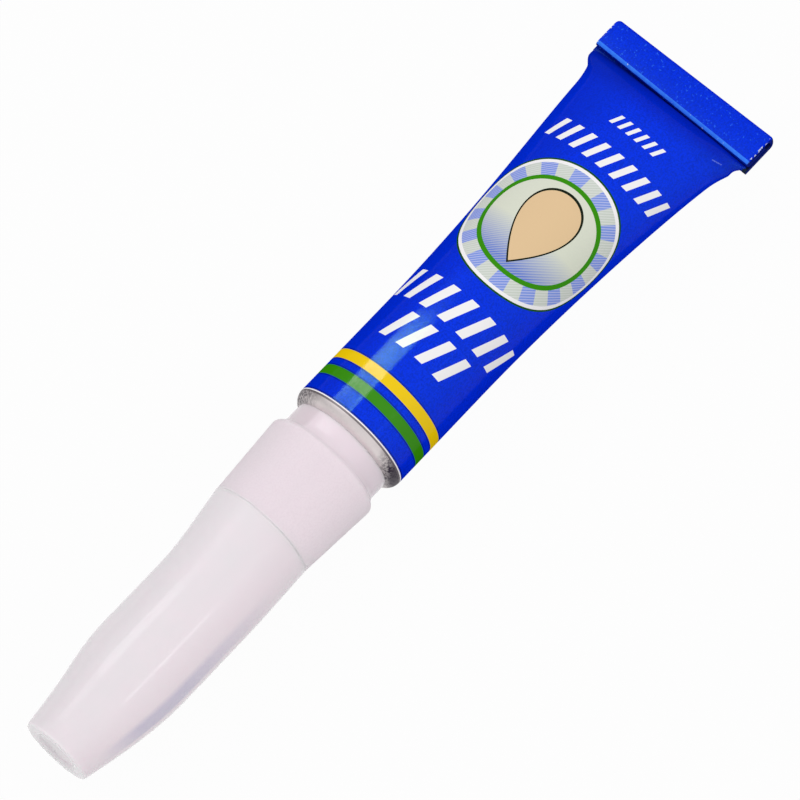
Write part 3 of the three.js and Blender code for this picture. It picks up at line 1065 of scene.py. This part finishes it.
def metal_colour(tree, mottle, along):
    colour = lay_over(tree, mottle, *METAL_TONES)
    # Painted reflection of the white collar beside it.
    colour = lay_over(tree, rescale(tree, along, 0.9, 0.0, *BY_COLLAR), colour, LIT_METAL)
    # Painted shade where the shoulder turns towards the enamel.
    colour = lay_over(tree, rescale(tree, along, 0.0, 0.6, *TURNING), colour, TURN_SHADE_METAL)
    # Painted dark reflections towards both sides and underneath.
    colour = lay_over(tree, dark_reflections(tree, mottle), colour, DARK_REFLECTION_METAL)
    shaded = between(tree, along, -BASE_COAT_LINE - BASE_COAT_SHADE, -BASE_COAT_LINE)
    return lay_over(tree, shaded, colour, SHADED_METAL, strength=0.8)


# %% Bare aluminium
BASE_COAT = (0.85, 0.82, 0.85, 1)
METAL_ROUGHNESS = (0.4, 0.6)


def bare_aluminium():
    material, tree, shader = start_material("bare_aluminium")
    _, along = print_places(tree)
    mottle = grain(tree, 0.28 * MM, 4.0)
    coat = above(tree, along, -BASE_COAT_LINE)
    colour = lay_over(tree, coat, metal_colour(tree, mottle, along), BASE_COAT)
    tree.links.new(colour, shader.inputs["Base Color"])
    tree.links.new(minus(tree, 1.0, coat), shader.inputs["Metallic"])
    tree.links.new(rescale(tree, mottle, *METAL_ROUGHNESS), shader.inputs["Roughness"])
    bump(tree, shader, mottle, 0.012 * MM)
    return material


aluminium = bare_aluminium()
print("made", aluminium.name)

# %% [markdown]
# Frosted and milky plastic
# Nozzle and cap are polyethylene. Light goes a little way into it, so both get subsurface scattering. The
# grip came out of an eroded mould and is frosted; the collar and the cap came out of a polished one. Where
# cap and grip meet, scattering alone leaves a dark line, so a paler colour at these edges stands for the
# light that comes in through them.

# %% Milky plastic
SCATTER_SHARE = 0.8
SCATTER_BY_COLOUR = (1.0, 0.9, 0.95)
SCATTER_DEPTH = 0.6 * MM
LIT_TURN = (math.radians(15), math.radians(55))


def plastic(name, colour, roughness, gloss, texture, depth):
    """Milky plastic; colour and gloss are functions that draw those values in the material's tree."""
    material, tree, shader = start_material(name)
    surface(tree, shader, colour(tree), 1 * MM, roughness)
    feed(tree, shader.inputs["Specular IOR Level"], gloss(tree))
    shader.inputs["Subsurface Weight"].default_value = SCATTER_SHARE
    shader.inputs["Subsurface Radius"].default_value = SCATTER_BY_COLOUR
    shader.inputs["Subsurface Scale"].default_value = SCATTER_DEPTH
    bump(tree, shader, grain(tree, texture), depth)
    return material


def low_side(tree, middle):
    """How far a point lies over on the low side of a round piece, as an angle from the top."""
    _, y, z = place_on(tree)
    out = minus(tree, middle, y)
    return calc(tree, "ARCTAN2", out, minus(tree, z, AXIS_HEIGHT))


def lit_through(tree, turn, colour, paler):
    """Painted light on the low side, standing for light that comes through the plastic."""
    return lay_over(tree, rescale(tree, turn, 0.0, 1.0, *LIT_TURN), colour, paler)


# %% Frosted grip
PALE_EDGE = 0.24 * MM
LIT_EDGE = (0.99, 0.885, 0.94, 1)
FROSTED_TONES = ((0.81, 0.72, 0.77, 1), (0.79, 0.71, 0.755, 1))
FROSTED_LIT = (0.89, 0.79, 0.84, 1)
FROSTED_PITS = (0.6, 0.5, 0.56, 1)


def frosted_colour(tree):
    """The grip's white, with painted light on its low side and at its front edge, and fine dark pits."""
    x, _, _ = place_on(tree)
    colour = lay_over(tree, grain(tree, 3 * MM), *FROSTED_TONES)
    colour = lit_through(tree, low_side(tree, AXIS_SIDE), colour, FROSTED_LIT)
    at_front = rescale(tree, x, 1.0, 0.0, grip_front, grip_front + PALE_EDGE)
    colour = lay_over(tree, at_front, colour, LIT_EDGE)
    pits = rescale(tree, grain(tree, 0.2 * MM), 0.0, 0.12, 0.4, 0.7)
    return lay_over(tree, pits, colour, FROSTED_PITS)


frosted = plastic(
    "frosted_plastic",
    colour=frosted_colour,
    roughness=(0.55, 0.65),
    gloss=lambda tree: 0.2,
    texture=0.12 * MM,
    depth=0.01 * MM,
)
print("made", frosted.name)

# %% Polished collar
POLISHED_TONES = ((0.82, 0.72, 0.775, 1), (0.79, 0.705, 0.755, 1))
POLISHED_SHADE = (0.71, 0.62, 0.665, 1)
COLLAR_SHADE_TURN = (math.radians(-28), math.radians(-23))


def polished_colour(tree):
    """The collar's white, with painted shade on its high side."""
    colour = lay_over(tree, grain(tree, 2 * MM), *POLISHED_TONES)
    on_high_side = rescale(tree, low_side(tree, AXIS_SIDE), 1.0, 0.0, *COLLAR_SHADE_TURN)
    return lay_over(tree, on_high_side, colour, POLISHED_SHADE)


polished = plastic(
    "polished_plastic",
    colour=polished_colour,
    roughness=(0.12, 0.18),
    gloss=lambda tree: 0.12,
    texture=0.9 * MM,
    depth=0.006 * MM,
)
print("made", polished.name)

# %% Colour of the cap
MILKY_TONES = ((0.82, 0.745, 0.785, 1), (0.775, 0.745, 0.77, 1))
MILKY_LIT = (0.875, 0.785, 0.83, 1)
MILKY_LIT_END = (0.93, 0.87, 0.9, 1)
MILKY_SHADE = (0.66, 0.61, 0.73, 1)
END_FACE = (cap_end, cap_end + 0.3 * MM)
RIM_EDGE = (cap_rim - PALE_EDGE, cap_rim)
SHADE_TURN_IN = (math.radians(62), math.radians(70))
SHADE_TURN_OUT = (math.radians(85), math.radians(89))
SHADE_STARTS = (cap_end + 2 * MM, cap_end + 7 * MM)
SHADE_STOPS = (cap_end + 13 * MM, cap_end + 26 * MM)


def in_and_out(tree, value, coming, going):
    """A mask that comes in over one stretch of a value and goes out over a later one."""
    come = rescale(tree, value, 0.0, 1.0, *coming)
    gone = rescale(tree, value, 1.0, 0.0, *going)
    return times(tree, come, gone)


def milky_colour(tree):
    """The cap's white, with painted light at its ends, and painted shade along its low side for the hollow.
    """
    x, _, _ = place_on(tree)
    turn = low_side(tree, AXIS_SIDE - CAP_OFFSET)
    colour = lay_over(tree, grain(tree, 3 * MM), *MILKY_TONES)
    colour = lit_through(tree, turn, colour, MILKY_LIT)
    # Painted light on the end face.
    colour = lay_over(tree, rescale(tree, x, 1.0, 0.0, *END_FACE), colour, MILKY_LIT_END)
    # Painted light at the rim's edge, for light that comes in through it.
    colour = lay_over(tree, rescale(tree, x, 0.0, 1.0, *RIM_EDGE), colour, LIT_EDGE)
    # Painted shade along the low side, standing for the hollow that shows through the wall.
    wide = in_and_out(tree, turn, SHADE_TURN_IN, SHADE_TURN_OUT)
    long = in_and_out(tree, x, SHADE_STARTS, SHADE_STOPS)
    return lay_over(tree, times(tree, wide, long), colour, MILKY_SHADE)


# %% Milky cap
HELD = (cap_end + 18.5 * MM, cap_end + 21 * MM)
MILKY_GLOSS = (0.36, 0.12)


def milky_gloss(tree):
    """Glossy from the cap's end to its middle, and a little dull near the rim, where fingers hold it."""
    x, _, _ = place_on(tree)
    return rescale(tree, x, *MILKY_GLOSS, *HELD)


milky = plastic(
    "milky_plastic",
    colour=milky_colour,
    roughness=(0.1, 0.15),
    gloss=milky_gloss,
    texture=1.5 * MM,
    depth=0.004 * MM,
)
print("made", milky.name)

# %% [markdown]
# The filling
# The glue is a clear, faintly yellow liquid and the seal a band of dried latex. Nobody sees them while the
# tube is whole, but a part that is cut open should still show them.

# %% Glue and seal
GLUE_TONES = ((0.93, 0.93, 0.88, 1), (0.97, 0.97, 0.94, 1))
GLUE_CLEARNESS = 0.9
GLUE_IOR = 1.45
LATEX_TONES = ((0.6, 0.54, 0.38, 1), (0.68, 0.63, 0.47, 1))


def clear_glue():
    material, tree, shader = start_material("clear_glue")
    colour = lay_over(tree, grain(tree, 4 * MM), *GLUE_TONES)
    surface(tree, shader, colour, 2 * MM, (0.03, 0.08))
    shader.inputs["Transmission Weight"].default_value = GLUE_CLEARNESS
    shader.inputs["IOR"].default_value = GLUE_IOR
    return material


def seal_latex():
    material, tree, shader = start_material("seal_latex")
    colour = lay_over(tree, grain(tree, 0.7 * MM), *LATEX_TONES)
    surface(tree, shader, colour, 0.4 * MM, (0.6, 0.8))
    bump(tree, shader, grain(tree, 0.2 * MM), 0.02 * MM)
    return material


for node, finish in (("glue_fill", clear_glue()), ("end_seal", seal_latex())):
    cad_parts[node].material_slots[0].material = finish
    print(node, "gets", finish.name)

# %% [markdown]
# Finishes on the pieces
# Each piece takes its materials in slots, and faces choose a slot by where they lie. The strip is joined to
# the tube only now, because by then its faces already know that they are the worn band with its painted
# light and shade.

# %% Put the finishes on
def dress(piece, finishes, choose):
    """Gives a piece its finishes; choose tells from a face's middle which of them it takes."""
    for finish in finishes:
        piece.data.materials.append(finish)
    for face in piece.data.polygons:
        face.material_index = choose(face.center)
    print(piece.name, "gets", [finish.name for finish in finishes])


dress(tube, (enamel, aluminium), lambda middle: 1 if middle.x < ENAMEL_EDGE else 0)
dress(fold, (band,), lambda middle: 0)
dress(nozzle, (frosted, polished), lambda middle: 0 if grip_front < middle.x < grip_back - FINE else 1)
dress(cap, (milky,), lambda middle: 0)

# %% Join the strip to the tube
bpy.ops.object.select_all(action="DESELECT")
fold.select_set(True)
tube.select_set(True)
bpy.context.view_layer.objects.active = tube
bpy.ops.object.join()
for piece in (tube, nozzle, cap):
    smooth(piece)
    measure(piece)

# %% [markdown]
# Which body each piece rides on
# The CAD part has three bodies: the tube, the nozzle that turns on its neck, and the cap that pulls off.

# %% Ride on the bodies
RIDES = (
    (tube, "tube", "tube_body", "enamelled_tube"),
    (nozzle, "nozzle", "nozzle", "frosted_plastic"),
    (cap, "cap", "cap", "milky_plastic"),
)
for piece, body, node, slot in RIDES:
    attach(piece, body)
    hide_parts(node)
    print(piece.name, "rides on", body)

# %% [markdown]
# Table
# The tube lies on a white table. Lit by the lamps alone it would come out grey in places, so it shows
# itself mostly as plain white, to the camera and in mirror images alike, with a small share of the shadow.

# %% Table top
TABLE_SIZE = 6
TABLE_CELLS = 4
bpy.ops.object.select_all(action="DESELECT")
bpy.ops.mesh.primitive_grid_add(
    x_subdivisions=TABLE_CELLS,
    y_subdivisions=TABLE_CELLS,
    size=TABLE_SIZE,
    location=(0, 0, tube_low.z),
)
table = bpy.context.object
table.name = "table"
bpy.ops.object.transform_apply(location=True, rotation=True, scale=True)
measure(table)

# %% Table finish
TABLE_TONES = ((0.46, 0.46, 0.47, 1), (0.44, 0.44, 0.45, 1))
TABLE_ROUGHNESS = 0.9
PLAIN_WHITE_SHARE = 0.97


def seen_directly(tree):
    """1 for rays that show the table itself, and 0 for rays that carry its light to other things."""
    path = tree.nodes.new("ShaderNodeLightPath")
    seen = path.outputs["Is Camera Ray"]
    for ray in ("Is Glossy Ray", "Is Transmission Ray"):
        seen = calc(tree, "MAXIMUM", seen, path.outputs[ray])
    return seen


def white_table():
    material, tree, shader = start_material("white_table")
    colour = lay_over(tree, grain(tree, 300 * MM), *TABLE_TONES)
    tree.links.new(colour, shader.inputs["Base Color"])
    shader.inputs["Roughness"].default_value = TABLE_ROUGHNESS
    shader.inputs["Specular IOR Level"].default_value = 0
    plain_white = tree.nodes.new("ShaderNodeEmission")
    blend = tree.nodes.new("ShaderNodeMixShader")
    tree.links.new(times(tree, seen_directly(tree), PLAIN_WHITE_SHARE), blend.inputs["Fac"])
    tree.links.new(shader.outputs["BSDF"], blend.inputs[1])
    tree.links.new(plain_white.outputs["Emission"], blend.inputs[2])
    tree.links.new(blend.outputs["Shader"], tree.nodes["Material Output"].inputs["Surface"])
    return material


table.data.materials.append(white_table())

# %% [markdown]
# Light
# A pale room does most of the lighting, so shadows are faint. Three lamps add the streaks. The key softbox
# makes the short, sharp one over the rings, the weaker cap softbox the long, soft one on the plastic, and
# the strip light the thin line on the other side of the cap. One large lamp would be simpler, but its
# streak would run along the whole tube.

# %% Lamps
LIGHT_DISTANCE = 400 * MM


def softbox(name, tilt, ends, width, radiance):
    """A lamp as long as its two ends along the tube, tilted from overhead towards +Y."""
    bpy.ops.object.light_add(type="AREA")
    lamp = bpy.context.object
    lamp.name = name
    start, end = ends
    lamp.location = (
        (start + end) / 2,
        LIGHT_DISTANCE * math.sin(tilt),
        AXIS_HEIGHT + LIGHT_DISTANCE * math.cos(tilt),
    )
    lamp.rotation_euler = (-tilt, 0, 0)
    lamp.data.shape = "RECTANGLE"
    lamp.data.size = end - start
    lamp.data.size_y = width
    lamp.data.energy = radiance * math.pi * lamp.data.size * lamp.data.size_y
    print(f"{name}: {lamp.data.energy:.2f} W")


softbox("key_softbox", tilt=math.radians(32.5), ends=(104 * MM, 122 * MM), width=300 * MM, radiance=18.0)
softbox("cap_softbox", tilt=math.radians(36), ends=(-90 * MM, 96 * MM), width=150 * MM, radiance=2.2)
softbox("strip_light", tilt=math.radians(-46), ends=(-90 * MM, 93 * MM), width=30 * MM, radiance=4.0)

# %% Room
LIGHT_SIDE = Vector((-0.35, -0.65, 0.72)).normalized()
DARK_SIDE_LEVEL = 0.24
LIGHT_SIDE_LEVEL = 1.02
room = bpy.data.worlds.new("room")
bpy.context.scene.world = room
room.use_nodes = True
room_tree = room.node_tree
around = room_tree.nodes.new("ShaderNodeTexCoord")
lean = room_tree.nodes.new("ShaderNodeVectorMath")
lean.operation = "DOT_PRODUCT"
lean.inputs[1].default_value = LIGHT_SIDE
room_tree.links.new(around.outputs["Generated"], lean.inputs[0])
level = rescale(room_tree, lean.outputs["Value"], DARK_SIDE_LEVEL, LIGHT_SIDE_LEVEL, start=-1.0)
background = room_tree.nodes["Background"]
room_tree.links.new(level, background.inputs["Strength"])
background.inputs["Color"].default_value = (1, 1, 1, 1)
print("made the", room.name)

# %% [markdown]
# Finish
# The Standard view transform shows colours as they are written.

# %% Finish
bpy.context.scene.view_settings.view_transform = "Standard"
